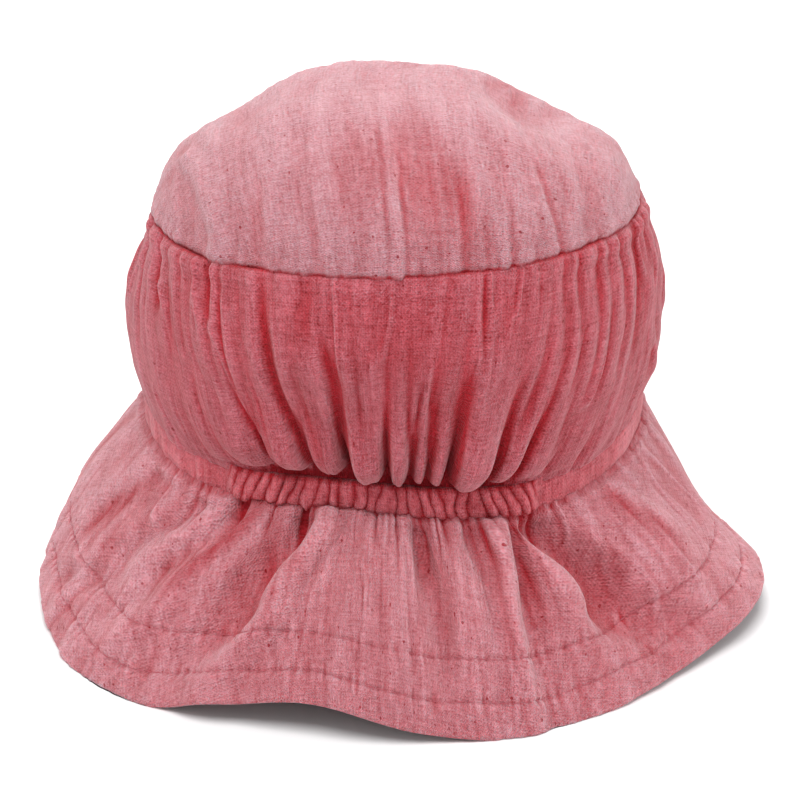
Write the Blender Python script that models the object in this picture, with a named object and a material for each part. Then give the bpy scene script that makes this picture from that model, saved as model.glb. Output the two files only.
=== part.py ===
"""A small child's sun hat sewn from crinkled double muslin, standing by itself on its brim.

The hat is four pieces of cloth that follow one another from the top down: an oval crown top, a
crown side that is gathered at the nape, a narrow casing round the head opening whose elastic
draws it into fine ribs at the nape, and a flared brim with a wavy edge.

Metres, +Z up. The forehead faces -Y and the nape +Y. The origin is on the surface that the hat
stands on, under the middle of the brim's outline. Angles round the hat are counted in degrees
from the nape, anticlockwise seen from above, so +90 is the -X side.
"""

import math

import bpy
import numpy as np

# Driving sizes of the hat, in metres
CROWN_WIDTH = 0.1645  # across the widest stretch of the crown side
CROWN_FRONT = 0.093  # hat's middle to the crown side's furthest point over the forehead
CROWN_BACK = 0.086  # hat's middle to the crown side's furthest point over the nape
CROWN_SIDE_HEIGHT = 0.071  # crown top's seam down to the casing, at the nape
CROWN_TOP_RISE = 0.034  # how far the crown top domes above its seam
CASING_HEIGHT = 0.0085
OPENING_HEIGHT = 0.0595  # floor to the seam of casing and brim, away from the nape
NAPE_DIP = 0.011  # the most that this seam drops, at the nape
BRIM_REACH = 0.034  # how far the brim's edge stands out past its seam, seen from above
FLOOR_PRESS = 0.0012  # how much of the brim's edge is flattened where it rests

# Cloth and seams, in metres
CROWN_CLOTH = 0.0014
CASING_CLOTH = 0.0019
BRIM_CLOTH = 0.0016
SEAM_GAP = 0.0003

CROWN_LEAN = 0.0008  # how far the lower end of the crown side stands towards +X

# Crown top
TOP_SEAM_DROP = 0.004
TOP_SHOULDER = 1.12  # 1 is half an ellipsoid, more has softer shoulders
TOP_PEAK_SHIFT = (0.006, -0.004)  # where the highest point is, from the hat's middle
DENT_DEPTH = 0.003

# Elastic at the nape
ELASTIC_HALF_ANGLE = 36.0
ELASTIC_MIDDLE = -2.8
ELASTIC_PULL = 0.014  # how far the elastic draws the nape in
PULL_REACH = 1.75  # half angle of the stretch drawn in, in elastic half angles
GATHER_TURN = 28.0  # how far the crown side's cloth is turned towards the nape
PUFF = 0.0045  # how far the gathered cloth puffs out just above the casing
GATHER_DEPTH = 0.0048
RIB_COUNT = 21
RIB_DEPTH = 0.0011
RIB_LEAN_ANGLE = 2.6  # degrees that the outermost ribs fan out over the casing's height

# Brim
BRIM_FAN_ANGLE = 9.0  # degrees that the brim's cloth spreads between its seam and its edge
BRIM_BOW = 0.005
BRIM_FOLD_DEPTH = 0.009

# How far the two long seams drop below their highest run, as shares of TOP_SEAM_DROP and NAPE_DIP
SEAMS = (
    # angle, top_seam, opening
    (-180.0, 0.40, 0.00),
    (-135.0, 0.70, 0.00),
    (-95.0, 1.10, 0.00),
    (-70.0, 1.15, 0.22),
    (-50.0, 1.05, 0.58),
    (-30.0, 0.60, 0.74),
    (-12.0, 0.30, 0.78),
    (12.0, 0.15, 1.00),
    (30.0, 0.10, 0.98),
    (50.0, 0.10, 0.62),
    (75.0, 0.25, 0.14),
    (105.0, 0.35, 0.00),
    (145.0, 0.40, 0.00),
)

# The crown side from its top seam to the casing: lengths as shares of the crown's half sizes
SIDE_SECTIONS = (
    # down, width, front, back
    (0.00, 0.895, 0.890, 0.905),
    (0.14, 0.950, 0.945, 0.955),
    (0.34, 0.990, 0.985, 0.990),
    (0.54, 1.000, 1.000, 1.000),
    (0.76, 0.985, 0.985, 0.985),
    (1.00, 0.950, 0.955, 0.950),
)

# Tubes of gathered cloth above the elastic: each tube's middle and half width as shares of the
# elastic's half angle, and its depth as a share of GATHER_DEPTH
GATHERS = (
    # place, half_width, depth
    (-0.96, 0.11, 0.40),
    (-0.70, 0.13, 0.90),
    (-0.44, 0.10, 0.90),
    (-0.16, 0.12, 1.05),
    (0.06, 0.085, 0.90),
    (0.22, 0.085, 0.85),
    (0.37, 0.075, 0.75),
    (0.59, 0.13, 1.05),
    (0.84, 0.095, 0.75),
    (1.04, 0.10, 0.45),
)

# Soft folds that run down the crown side: the angle where each meets the crown top's seam, its
# half width in degrees, and its height as a share of GATHER_DEPTH at the top, middle and bottom
SIDE_FOLDS = (
    # angle, half_width, top, middle, bottom
    (-84.0, 4.0, 0.30, 0.28, 0.10),
    (-73.0, 3.5, 0.34, 0.24, 0.12),
    (-63.0, 3.5, 0.30, 0.24, 0.16),
    (-52.0, 4.0, 0.22, 0.26, 0.14),
    (-41.0, 3.5, 0.24, 0.22, 0.00),
    (-30.0, 4.5, 0.12, 0.20, 0.00),
    (-10.0, 6.0, 0.06, 0.16, 0.00),
    (14.0, 5.0, 0.10, 0.14, 0.00),
    (27.0, 3.5, 0.14, 0.18, 0.00),
    (39.0, 3.5, 0.24, 0.22, 0.00),
    (48.0, 3.0, 0.28, 0.24, 0.08),
    (57.0, 3.5, 0.30, 0.24, 0.14),
    (67.0, 3.5, 0.32, 0.26, 0.16),
    (77.0, 4.0, 0.30, 0.26, 0.12),
    (88.0, 4.0, 0.26, 0.22, 0.10),
)

# The brim's edge: how far it reaches as a share of BRIM_REACH, how far it lifts off the floor as
# a share of OPENING_HEIGHT, and how far the slope above it bows out as a share of BRIM_BOW
BRIM_EDGE = (
    # angle, reach, lift, bow
    (-180.0, 1.02, 0.00, 0.3),
    (-155.0, 0.98, 0.06, 0.3),
    (-130.0, 1.04, 0.00, 0.6),
    (-105.0, 1.08, 0.04, 0.8),
    (-80.0, 1.04, 0.06, 0.4),
    (-62.0, 1.10, 0.02, 0.3),
    (-45.0, 1.12, -0.02, 0.6),
    (-28.0, 0.98, 0.12, 0.8),
    (-14.0, 0.92, 0.20, 1.0),
    (4.0, 0.98, 0.08, 1.2),
    (20.0, 0.98, -0.01, 1.2),
    (42.0, 0.98, 0.05, 0.8),
    (62.0, 1.06, 0.11, 0.4),
    (80.0, 1.14, 0.14, -0.2),
    (105.0, 0.88, 0.08, -0.2),
    (130.0, 0.96, 0.00, 0.2),
    (155.0, 0.98, 0.06, 0.2),
)

# Dents of the crown top, each over an oval patch: middle and half sizes as shares of the crown
# top's own half sizes, towards +X and towards the nape, and depth as a share of DENT_DEPTH
TOP_DENTS = (
    # across, along, half_across, half_along, depth
    (0.62, -0.40, 0.42, 0.75, 1.00),
    (-0.14, 0.30, 0.16, 0.50, 0.55),
    (0.38, 0.66, 0.20, 0.34, 0.40),
    (-0.55, 0.40, 0.14, 0.50, 0.35),
)

# Folds of the brim, each along a straight line between its two angles: half width in degrees,
# and height as a share of BRIM_FOLD_DEPTH at the seam, middle and edge. A valley is negative.
BRIM_FOLDS = (
    # seam_angle, edge_angle, half_width, seam, middle, edge
    (-43.0, -80.0, 7.0, -0.30, -0.40, 0.00),
    (-33.0, -60.0, 6.0, 0.25, 0.35, 0.10),
    (-21.0, -39.0, 6.5, -0.45, -0.75, -0.20),
    (-14.5, -27.0, 5.5, 0.45, 0.60, 0.20),
    (-3.0, -6.0, 7.0, 0.20, 0.30, 0.05),
    (4.0, 9.0, 3.5, -0.40, -0.35, 0.00),
    (13.0, 14.0, 5.0, 0.20, 0.15, 0.05),
    (22.5, 21.0, 4.5, 0.30, 0.50, 0.20),
    (28.5, 27.0, 3.5, -0.28, -0.20, 0.00),
    (38.0, 52.0, 8.0, -0.40, -0.75, -0.10),
    (56.0, 72.0, 10.0, 0.20, 0.35, 0.05),
)

# How finely each piece is faceted: columns round the hat, the share of them that lies within
# FINE_ANGLE of the nape, and the levels of its rows, 0 at its upper seam and 1 at its lower end
FINE_ANGLE = 75.0
FINE_SHARE = 0.66
TOP_LEVELS = (0.0, 0.20, 0.40, 0.58, 0.74, 0.88, 1.0)
SIDE_LEVELS = (0.0, 0.10, 0.24, 0.40, 0.56, 0.70, 0.80, 0.87, 0.93, 0.97, 1.0)
CASING_LEVELS = (0.0, 0.5, 1.0)
BRIM_LEVELS = (0.0, 0.06, 0.16, 0.32, 0.52, 0.74, 1.0)
TOP_COLUMNS = 84
SIDE_COLUMNS = 112
CASING_COLUMNS = 160
BRIM_COLUMNS = 100

PINK = (0.60, 0.22, 0.245, 1.0)
CLOTH_ROUGHNESS = 0.92

TOP, SIDE, CASING, BRIM = range(4)


def column(table, index):
    return np.array([row[index] for row in table], float)


def hermite(x, xs, ys, slopes):
    """Values at x of the cubic that passes through (xs, ys) with these slopes."""
    k = np.clip(np.searchsorted(xs, x, side="right") - 1, 0, len(xs) - 2)
    step = xs[k + 1] - xs[k]
    u = np.clip((x - xs[k]) / step, 0.0, 1.0)
    rise = ys[k] * (1 + 2 * u) * (1 - u) ** 2 + ys[k + 1] * u * u * (3 - 2 * u)
    return rise + step * (slopes[k] * u * (1 - u) ** 2 - slopes[k + 1] * u * u * (1 - u))


def along(x, table, index):
    """A column of a table of sections, as a smooth function of its first column."""
    xs, ys = column(table, 0), column(table, index)
    return hermite(x, xs, ys, np.gradient(ys, xs))


def around(angle, table, index):
    """A column of a table of angles, as a smooth function that closes round the hat."""
    xs, ys = column(table, 0), column(table, index)
    xs = np.concatenate([xs - 360.0, xs, xs + 360.0])
    ys = np.tile(ys, 3)
    wrapped = (angle + 180.0) % 360.0 - 180.0
    return hermite(wrapped, xs, ys, np.gradient(ys, xs))


def smooth(x):
    x = np.clip(x, 0.0, 1.0)
    return x * x * (3 - 2 * x)


def bump(x):
    """1 at 0, falling smoothly to 0 at 1 and -1."""
    return (1 - np.clip(np.abs(x), 0.0, 1.0) ** 2) ** 2


def three_way(t, start, middle, end):
    """start at 0, middle at 0.5 and end at 1, with smooth passages."""
    first = start + (middle - start) * smooth(2 * t)
    return first + (end - middle) * smooth(2 * t - 1)


def signed(angle):
    return (angle + 180.0) % 360.0 - 180.0


def elastic_place(angle):
    """Where an angle is along the elastic: 0 is its middle, -1 and 1 its ends."""
    return signed(angle - ELASTIC_MIDDLE) / ELASTIC_HALF_ANGLE


def gather_turn(cloth):
    """Degrees that a column of cloth has turned towards the nape where it meets the casing."""
    turn = np.radians(cloth)
    return GATHER_TURN * np.sin(turn) * (1 + np.cos(turn)) / 2


def opening_angle(cloth):
    """Where a column of the crown side's cloth meets the casing."""
    return cloth - gather_turn(cloth)


def nape_pull(angle):
    """1 at the nape, 0 beyond the stretch that the elastic draws in."""
    return bump(elastic_place(angle) / PULL_REACH)


def ring(angle, width, front, back):
    """Plan position on an oval that is longer over the forehead than over the nape."""
    turn = np.radians(angle)
    length = np.where(np.cos(turn) > 0, back, front)
    return -width * np.sin(turn), length * np.cos(turn)


def side_ring(angle, t):
    """Plan position on the crown side at share t of the way down, before its folds."""
    x, y = ring(
        angle,
        CROWN_WIDTH / 2 * along(t, SIDE_SECTIONS, 1),
        CROWN_FRONT * along(t, SIDE_SECTIONS, 2),
        CROWN_BACK * along(t, SIDE_SECTIONS, 3),
    )
    x = x + CROWN_LEAN * t
    return x, y - ELASTIC_PULL * nape_pull(angle) * smooth((t - 0.25) / 0.75)


def opening_height(angle):
    """Height of the seam between casing and brim."""
    return OPENING_HEIGHT - NAPE_DIP * around(angle, SEAMS, 2)


def top_seam_height(angle):
    return top_seam_level() - TOP_SEAM_DROP * around(angle, SEAMS, 1)


def top_seam_level():
    """Height at which the crown top's seam would run if it dropped nowhere."""
    return OPENING_HEIGHT - NAPE_DIP + CASING_HEIGHT + CROWN_SIDE_HEIGHT


def stack(x, y, z):
    return np.stack(np.broadcast_arrays(x, y, z), axis=-1)


def crown_top(angle, t):
    """The dome, from its peak at t = 0 to its seam at t = 1."""
    x, y = side_ring(angle, np.zeros_like(angle))
    seam = top_seam_height(angle)
    peak = top_seam_level() + CROWN_TOP_RISE
    r = np.sin(np.pi / 2 * t)
    climb = np.abs(np.cos(np.pi / 2 * t)) ** TOP_SHOULDER
    slip = 1 - r * r
    turn = np.radians(angle)
    dents = np.zeros_like(x)
    for across, along_it, half_across, half_along, depth in TOP_DENTS:
        from_middle = (-r * np.sin(turn) - across) / half_across
        from_middle_along = (r * np.cos(turn) - along_it) / half_along
        dents = dents + depth * bump(np.hypot(from_middle, from_middle_along))
    return stack(
        x * r + TOP_PEAK_SHIFT[0] * slip,
        y * r + TOP_PEAK_SHIFT[1] * slip,
        seam + (peak - seam) * climb - DENT_DEPTH * dents * smooth((1 - r) / 0.1),
    )


def gather_height(cloth):
    """Height of the gathered tubes just above the casing, as a share of GATHER_DEPTH."""
    place = elastic_place(opening_angle(cloth))
    height = np.zeros_like(place)
    for middle, half_width, depth in GATHERS:
        height = np.maximum(height, depth * bump((place - middle) / (1.25 * half_width)))
    return height


def crown_side(cloth, t):
    """The gathered side, from the crown top's seam at t = 0 to the casing at t = 1."""
    angle = cloth - gather_turn(cloth) * t
    x, y = side_ring(angle, t)
    casing_top = opening_height(opening_angle(cloth)) + CASING_HEIGHT
    z = top_seam_height(cloth) * (1 - t) + casing_top * t

    folds = np.zeros_like(angle)
    for middle, half_width, top, mid, bottom in SIDE_FOLDS:
        height = three_way(t, top, mid, bottom) * smooth(t / 0.08)
        folds = folds + height * bump(signed(cloth - middle) / half_width)
    gathered = smooth((t - 0.35) / 0.5) * smooth((1 - t) / 0.07)
    folds = GATHER_DEPTH * (folds * smooth((1 - t) / 0.1) + gather_height(cloth) * gathered)
    puff = PUFF * nape_pull(angle) * bump((t - 0.86) / 0.34)
    out = folds + puff - GATHER_DEPTH * 0.5 * gathered * nape_pull(angle)

    turn = np.radians(angle)
    return stack(x - out * np.sin(turn), y + out * np.cos(turn), z)


def casing(cloth, t):
    """The band round the head opening, drawn into ribs over the elastic."""
    angle = opening_angle(cloth)
    x, y = side_ring(angle, np.ones_like(angle))
    place = elastic_place(angle)
    fanned = place * (1 - RIB_LEAN_ANGLE / ELASTIC_HALF_ANGLE * (t - 0.5))
    swell = 0.5 + 0.5 * np.cos(np.pi * RIB_COUNT * fanned)
    swell = swell * smooth((1.12 - np.abs(place)) / 0.2)
    out = RIB_DEPTH * swell * bump((t - 0.5) / 0.56)
    turn = np.radians(angle)
    z = opening_height(angle) + CASING_HEIGHT * (1 - t)
    return stack(x - out * np.sin(turn), y + out * np.cos(turn), z)


def brim(cloth, t):
    """The flared brim, from its seam at t = 0 to its wavy edge at t = 1."""
    seam_angle = opening_angle(cloth)
    angle = seam_angle + BRIM_FAN_ANGLE * np.sin(np.radians(seam_angle)) * t
    x, y = side_ring(seam_angle, np.ones_like(angle))
    edge_angle = seam_angle + BRIM_FAN_ANGLE * np.sin(np.radians(seam_angle))
    reach = BRIM_REACH * around(edge_angle, BRIM_EDGE, 1)
    edge_x, edge_y = ring(
        edge_angle,
        CROWN_WIDTH / 2 * SIDE_SECTIONS[-1][1] + reach,
        CROWN_FRONT * SIDE_SECTIONS[-1][2] + reach,
        CROWN_BACK * SIDE_SECTIONS[-1][3] + reach,
    )
    lift = OPENING_HEIGHT * around(edge_angle, BRIM_EDGE, 2) - FLOOR_PRESS
    x = x + (edge_x - x) * t
    y = y + (edge_y - y) * t
    start = opening_height(seam_angle)
    z = start + (lift - start) * t

    folds = np.zeros_like(angle)
    for seam_at, edge_at, half_width, seam, middle, edge in BRIM_FOLDS:
        line = seam_at + (edge_at - seam_at) * t
        spread = half_width * (0.75 + 0.5 * t)
        folds = folds + three_way(t, seam, middle, edge) * bump(signed(angle - line) / spread)
    bow = BRIM_BOW * around(edge_angle, BRIM_EDGE, 3) * np.sin(np.pi * t)
    out = bow + BRIM_FOLD_DEPTH * folds * smooth(t / 0.1)
    turn = np.radians(angle)
    slope = math.atan2(OPENING_HEIGHT, BRIM_REACH)
    across = out * math.sin(slope)
    up = out * math.cos(slope)
    return stack(x - across * np.sin(turn), y + across * np.cos(turn), z + up)


SURFACES = {TOP: crown_top, SIDE: crown_side, CASING: casing, BRIM: brim}


def surface(cloth, level):
    """Outer face of the hat: level 0 is the peak and 4 is the brim's edge, with seams between."""
    piece = min(max(int(math.floor(level)), TOP), BRIM)
    return SURFACES[piece](cloth, np.full_like(cloth, level - piece))


def unit(v):
    return v / np.maximum(np.linalg.norm(v, axis=-1, keepdims=True), 1e-12)


STEP = 1e-4  # how far apart the points are that a slope is measured between


def down_direction(cloth, level):
    """Direction down the cloth. At a seam it is halfway between the two pieces' own."""
    here = surface(cloth, level)
    total = np.zeros_like(here)
    if level < BRIM + 1:
        piece = min(int(math.floor(level)), BRIM)
        t = np.full_like(cloth, level - piece)
        total = total + unit(SURFACES[piece](cloth, t + STEP) - SURFACES[piece](cloth, t))
    if level > TOP:
        piece = int(math.ceil(level)) - 1
        t = np.full_like(cloth, level - piece)
        total = total + unit(SURFACES[piece](cloth, t) - SURFACES[piece](cloth, t - STEP))
    return unit(total)


def outward(cloth, level):
    """The hat's outward direction, across the cloth."""
    if level <= TOP:
        return np.tile([0.0, 0.0, 1.0], (len(cloth), 1))
    span = 360.0 * STEP
    round_it = surface(cloth + span, level) - surface(cloth - span, level)
    return unit(np.cross(down_direction(cloth, level), round_it))


def cloth_angles(count):
    """Angles of the columns round the hat, closer together over the nape."""
    fine = int(round(count * FINE_SHARE / 2)) * 2
    coarse = count - fine
    near = np.linspace(-FINE_ANGLE, FINE_ANGLE, fine, endpoint=False)
    far = np.linspace(FINE_ANGLE, 360.0 - FINE_ANGLE, coarse, endpoint=False)
    return np.concatenate([near, far])


def rows_of(piece, levels, cloth, thickness):
    """Outer and inner points of a piece, row by row, with half a seam gap left at each seam."""
    outer, inner = [], []
    for share in levels:
        level = piece + share
        points = surface(cloth, level)
        if share == 0.0 and piece > TOP:
            points = points + down_direction(cloth, level) * SEAM_GAP / 2
        if share == 1.0 and piece < BRIM:
            points = points - down_direction(cloth, level) * SEAM_GAP / 2
        outer.append(points)
        inner.append(points - outward(cloth, level) * thickness)
    return outer, inner


def rest_on_floor(points):
    """Presses what would reach under the floor flat against it."""
    pressed = points.copy()
    pressed[:, 2] = np.maximum(pressed[:, 2], 0.0)
    return pressed


def quads_between(first, second, count):
    return [
        (first + i, first + (i + 1) % count, second + (i + 1) % count, second + i)
        for i in range(count)
    ]


def cloth_material(name):
    material = bpy.data.materials.new(name)
    material.use_nodes = True
    shader = material.node_tree.nodes["Principled BSDF"]
    shader.inputs["Base Color"].default_value = PINK
    shader.inputs["Roughness"].default_value = CLOTH_ROUGHNESS
    shader.inputs["Metallic"].default_value = 0.0
    return material


def brim_middle():
    """The point on the floor under the middle of the brim's outline."""
    edge = surface(cloth_angles(BRIM_COLUMNS), BRIM + 1)
    middle = (edge.min(axis=0) + edge.max(axis=0)) / 2
    middle[2] = 0.0
    return middle


def add_object(name, points, faces, material):
    mesh = bpy.data.meshes.new(name)
    mesh.from_pydata([tuple(p) for p in points - brim_middle()], [], faces)
    mesh.materials.append(material)
    mesh.shade_smooth()
    mesh.set_sharp_from_angle(angle=math.radians(60))
    made = bpy.data.objects.new(name, mesh)
    bpy.context.scene.collection.objects.link(made)
    return made


def tube_of_cloth(name, piece, levels, columns, thickness):
    """A closed wall between two seams, open at the top and the bottom of the hat."""
    cloth = cloth_angles(columns)
    outer, inner = rows_of(piece, levels, cloth, thickness)
    rows = [rest_on_floor(row) for row in outer + inner[::-1]]
    faces = []
    for k in range(len(rows)):
        following = (k + 1) % len(rows)
        faces += quads_between(following * columns, k * columns, columns)
    return add_object(name, np.concatenate(rows), faces, cloth_material(name + "_muslin"))


def dome_of_cloth(name, levels, columns, thickness):
    """The crown top: a closed wall whose outer and inner faces each end in a point."""
    cloth = cloth_angles(columns)
    outer, inner = rows_of(TOP, levels[1:], cloth, thickness)
    rows = outer + inner[::-1]
    faces = []
    for k in range(len(rows) - 1):
        faces += quads_between((k + 1) * columns, k * columns, columns)
    peak = surface(cloth[:1], 0)
    under = peak - np.array([0.0, 0.0, thickness])
    outer_peak = len(rows) * columns
    inner_peak = outer_peak + 1
    last = (len(rows) - 1) * columns
    for i in range(columns):
        after = (i + 1) % columns
        faces.append((outer_peak, i, after))
        faces.append((inner_peak, last + after, last + i))
    points = np.concatenate(rows + [peak, under])
    return add_object(name, points, faces, cloth_material(name + "_muslin"))


def main():
    for old in list(bpy.data.objects):
        bpy.data.objects.remove(old, do_unlink=True)
    dome_of_cloth("crown_top", TOP_LEVELS, TOP_COLUMNS, CROWN_CLOTH)
    tube_of_cloth("crown_side", SIDE, SIDE_LEVELS, SIDE_COLUMNS, CROWN_CLOTH)
    tube_of_cloth("elastic_casing", CASING, CASING_LEVELS, CASING_COLUMNS, CASING_CLOTH)
    tube_of_cloth("brim", BRIM, BRIM_LEVELS, BRIM_COLUMNS, BRIM_CLOTH)


main()
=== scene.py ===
import math

import bpy
import numpy as np
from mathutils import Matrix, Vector


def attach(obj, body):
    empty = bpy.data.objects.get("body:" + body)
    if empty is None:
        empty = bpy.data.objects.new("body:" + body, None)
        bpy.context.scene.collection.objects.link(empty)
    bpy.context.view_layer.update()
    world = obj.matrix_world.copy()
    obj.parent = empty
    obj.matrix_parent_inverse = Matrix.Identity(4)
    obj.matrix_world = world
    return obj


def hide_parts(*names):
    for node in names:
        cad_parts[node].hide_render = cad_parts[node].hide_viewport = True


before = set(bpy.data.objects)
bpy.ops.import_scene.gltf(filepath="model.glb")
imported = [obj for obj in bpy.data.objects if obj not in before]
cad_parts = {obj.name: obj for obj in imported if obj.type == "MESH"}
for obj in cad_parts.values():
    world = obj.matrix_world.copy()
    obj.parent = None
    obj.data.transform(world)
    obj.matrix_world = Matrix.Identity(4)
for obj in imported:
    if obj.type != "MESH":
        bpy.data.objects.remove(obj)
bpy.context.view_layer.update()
print("frame loaded")

rawScene = bpy.context.scene


# Curves and noise that every piece uses

def bump(x):
    return (1 - np.clip(np.abs(x), 0.0, 1.0) ** 2) ** 2


def smooth(x):
    x = np.clip(x, 0.0, 1.0)
    return x * x * (3 - 2 * x)


def threeWay(t, start, middle, end):
    first = start + (middle - start) * smooth(2 * t)
    return first + (end - middle) * smooth(2 * t - 1)


def signed(angle):
    return (angle + 180.0) % 360.0 - 180.0


def hermite(x, xs, ys, slopes):
    k = np.clip(np.searchsorted(xs, x, side="right") - 1, 0, len(xs) - 2)
    step = xs[k + 1] - xs[k]
    u = np.clip((x - xs[k]) / step, 0.0, 1.0)
    value = ys[k] * (1 + 2 * u) * (1 - u) ** 2 + ys[k + 1] * u * u * (3 - 2 * u)
    return value + step * (slopes[k] * u * (1 - u) ** 2 - slopes[k + 1] * u * u * (1 - u))


def along(x, rows, index):
    xs = np.array([row[0] for row in rows], float)
    ys = np.array([row[index] for row in rows], float)
    return hermite(x, xs, ys, np.gradient(ys, xs))


def around(angle, rows, index):
    xs = np.array([row[0] for row in rows], float)
    ys = np.tile(np.array([row[index] for row in rows], float), 3)
    xs = np.concatenate([xs - 360.0, xs, xs + 360.0])
    return hermite(signed(angle), xs, ys, np.gradient(ys, xs))


def clothNoise(u, v, seed, repeat=0):
    # smooth noise from -1 to 1 on a grid of unit cells, closing after `repeat` cells along u
    table = np.random.default_rng(seed).uniform(-1.0, 1.0, (1024, 256))
    iu, iv = np.floor(u).astype(int), np.floor(v).astype(int)
    fu, fv = u - iu, v - iv
    fu, fv = fu * fu * (3 - 2 * fu), fv * fv * (3 - 2 * fv)
    wrap = repeat if repeat else 1024
    u0, u1 = iu % wrap, (iu + 1) % wrap
    v0, v1 = iv % 256, (iv + 1) % 256
    low = table[u0, v0] * (1 - fu) + table[u1, v0] * fu
    high = table[u0, v1] * (1 - fu) + table[u1, v1] * fu
    return low * (1 - fv) + high * fv


def pleats(cloth, t, seed, degrees, drift):
    # round ridges with sharp valleys, about -0.4 to 0.5, that run down the cloth
    cells = int(round(360.0 / degrees))
    u = (cloth + 180.0) / 360.0 * cells
    swerve = 0.25 * clothNoise(u * 0.5, t * drift, seed + 7, cells // 2)
    noise = clothNoise(u + swerve, t * drift, seed, cells)
    return np.sqrt(noise * noise + 0.012) - 0.51


def ridges(cloth, t, seed, degrees, drift):
    # thin raised lines that wind down the cloth and come and go
    cells = int(round(360.0 / degrees))
    u = (cloth + 180.0) / 360.0 * cells
    line = clothNoise(u, t * drift, seed, cells)
    shown = smooth(1.4 * clothNoise(u * 0.5 + 0.3, t * drift * 1.6 + 20.0, seed + 3, cells // 2) + 0.3)
    return bump(line / 0.16) * shown


def blurred(height, cells):
    # mean over a few columns either way, round the closed hat
    sums = np.cumsum(np.concatenate([height[:, -cells:], height, height[:, :cells + 1]], axis=1), axis=1)
    return (sums[:, 2 * cells + 1:] - sums[:, :-2 * cells - 1])[:, :height.shape[1]] / (2 * cells + 1)


def paintedShadeFrom(height, extra, level):
    # painted shade: 1 in the clefts, where little light comes out of the cloth, and 0 on the ridges; the
    # colour is darkened by it
    columns = height.shape[1]
    wide = blurred(height, max(2, int(columns / 60))) - height
    narrow = blurred(height, max(1, int(columns / 220))) - height
    return np.clip(level + wide / 0.0034 + narrow / 0.0011 + extra, 0.0, 1.0)


def stack(x, y, z):
    return np.stack(np.broadcast_arrays(x, y, z), axis=-1)


def unit(v):
    return v / np.maximum(np.linalg.norm(v, axis=-1, keepdims=True), 1e-12)


def gridNormals(points):
    # outward directions of a grid whose columns close round the hat
    roundIt = np.roll(points, -1, axis=1) - np.roll(points, 1, axis=1)
    down = np.gradient(points, axis=0)
    return unit(np.cross(down, roundIt))


def addObject(name, data):
    made = bpy.data.objects.new(name, data)
    rawScene.collection.objects.link(made)
    return made


def plainMaterial(name, color, roughness, gloss):
    material = bpy.data.materials.new(name)
    material.use_nodes = True
    shader = material.node_tree.nodes["Principled BSDF"]
    for socket, value in (("Base Color", color), ("Roughness", roughness), ("Specular IOR Level", gloss)):
        shader.inputs[socket].default_value = value
    return material


# The hat's lasting form: sizes in metres, angles in degrees from the nape, +90 on the -X side

hat = {
    "halfWidth": 0.08225,
    "front": 0.093,
    "back": 0.086,
    "sideHeight": 0.071,
    "topRise": 0.034,
    "casingHeight": 0.0085,
    "openingHeight": 0.0595,
    "napeDip": 0.011,
    "topSeamDrop": 0.004,
    "lean": 0.0008,
    "elasticHalfAngle": 36.0,
    "elasticMiddle": -2.8,
    "elasticPull": 0.014,
    "pullReach": 1.75,
    "gatherTurn": 28.0,
    "bandRadius": 0.083,
    # the inner face's even painted shade
    "innerPaintedShade": 0.3,
    "middle": (-0.00087343, -0.00434769, 0.0),
}

# the side from the top seam down: level, then shares of its width, front and back
sideSections = (
    (0, 0.895, 0.89, 0.905),
    (0.14, 0.95, 0.945, 0.955),
    (0.34, 0.99, 0.985, 0.99),
    (0.54, 1, 1, 1),
    (0.76, 0.985, 0.985, 0.985),
    (1, 0.95, 0.955, 0.95),
)

# angle, drop of the top seam, drop of the opening's seam, both as shares
seamDrops = (
    (-180, 0.4, 0),
    (-135, 0.7, 0),
    (-95, 1.1, 0),
    (-70, 1.15, 0.22),
    (-50, 1.05, 0.58),
    (-30, 0.6, 0.74),
    (-12, 0.3, 0.78),
    (12, 0.15, 1),
    (30, 0.1, 0.98),
    (50, 0.1, 0.62),
    (75, 0.25, 0.14),
    (105, 0.35, 0),
    (145, 0.4, 0),
)


def elasticPlace(angle):
    return signed(angle - hat["elasticMiddle"]) / hat["elasticHalfAngle"]


def gatherTurn(cloth):
    turn = np.radians(cloth)
    return hat["gatherTurn"] * np.sin(turn) * (1 + np.cos(turn)) / 2


def napePull(angle):
    return bump(elasticPlace(angle) / hat["pullReach"])


def ring(angle, width, front, back):
    turn = np.radians(angle)
    length = np.where(np.cos(turn) > 0, back, front)
    return -width * np.sin(turn), length * np.cos(turn)


def sideRing(angle, t):
    x, y = ring(
        angle,
        hat["halfWidth"] * along(t, sideSections, 1),
        hat["front"] * along(t, sideSections, 2),
        hat["back"] * along(t, sideSections, 3),
    )
    pull = hat["elasticPull"] * napePull(angle) * smooth((t - 0.25) / 0.75)
    return x + hat["lean"] * t, y - pull


def openingLevel(angle):
    return hat["openingHeight"] - hat["napeDip"] * around(angle, seamDrops, 2)


def topSeamPeak():
    return hat["openingHeight"] - hat["napeDip"] + hat["casingHeight"] + hat["sideHeight"]


def topSeamLevel(angle):
    return topSeamPeak() - hat["topSeamDrop"] * around(angle, seamDrops, 1)


# Cloth pieces as meshes: a fine outer face, a coarser inner face and a rim between them

def facesBetween(first, second, count):
    i = np.arange(count)
    j = (i + 1) % count
    return np.stack([first + i, first + j, second + j, second + i], axis=1)


def stitchedRim(fine, coarse, count, flip):
    # joins a row of `count` points to one of half as many
    half = count // 2
    faces = []
    for k in range(half):
        a, b, c = fine + 2 * k, fine + (2 * k + 1) % count, fine + (2 * k + 2) % count
        d, e = coarse + k, coarse + (k + 1) % half
        face = [a, d, e, c, b]
        faces.append(face[::-1] if flip else face)
    return faces


def closedTurn(columns):
    # radians of the columns and, once more, of the first
    return np.radians(np.append(columns, columns[0] + 360.0))[None, :]


def bandUv(columns, v):
    # cloth coordinates in metres of a band that runs round the hat
    u, v = np.broadcast_arrays(closedTurn(columns) * hat["bandRadius"], v)
    return np.stack([u, v], axis=-1)


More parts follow.
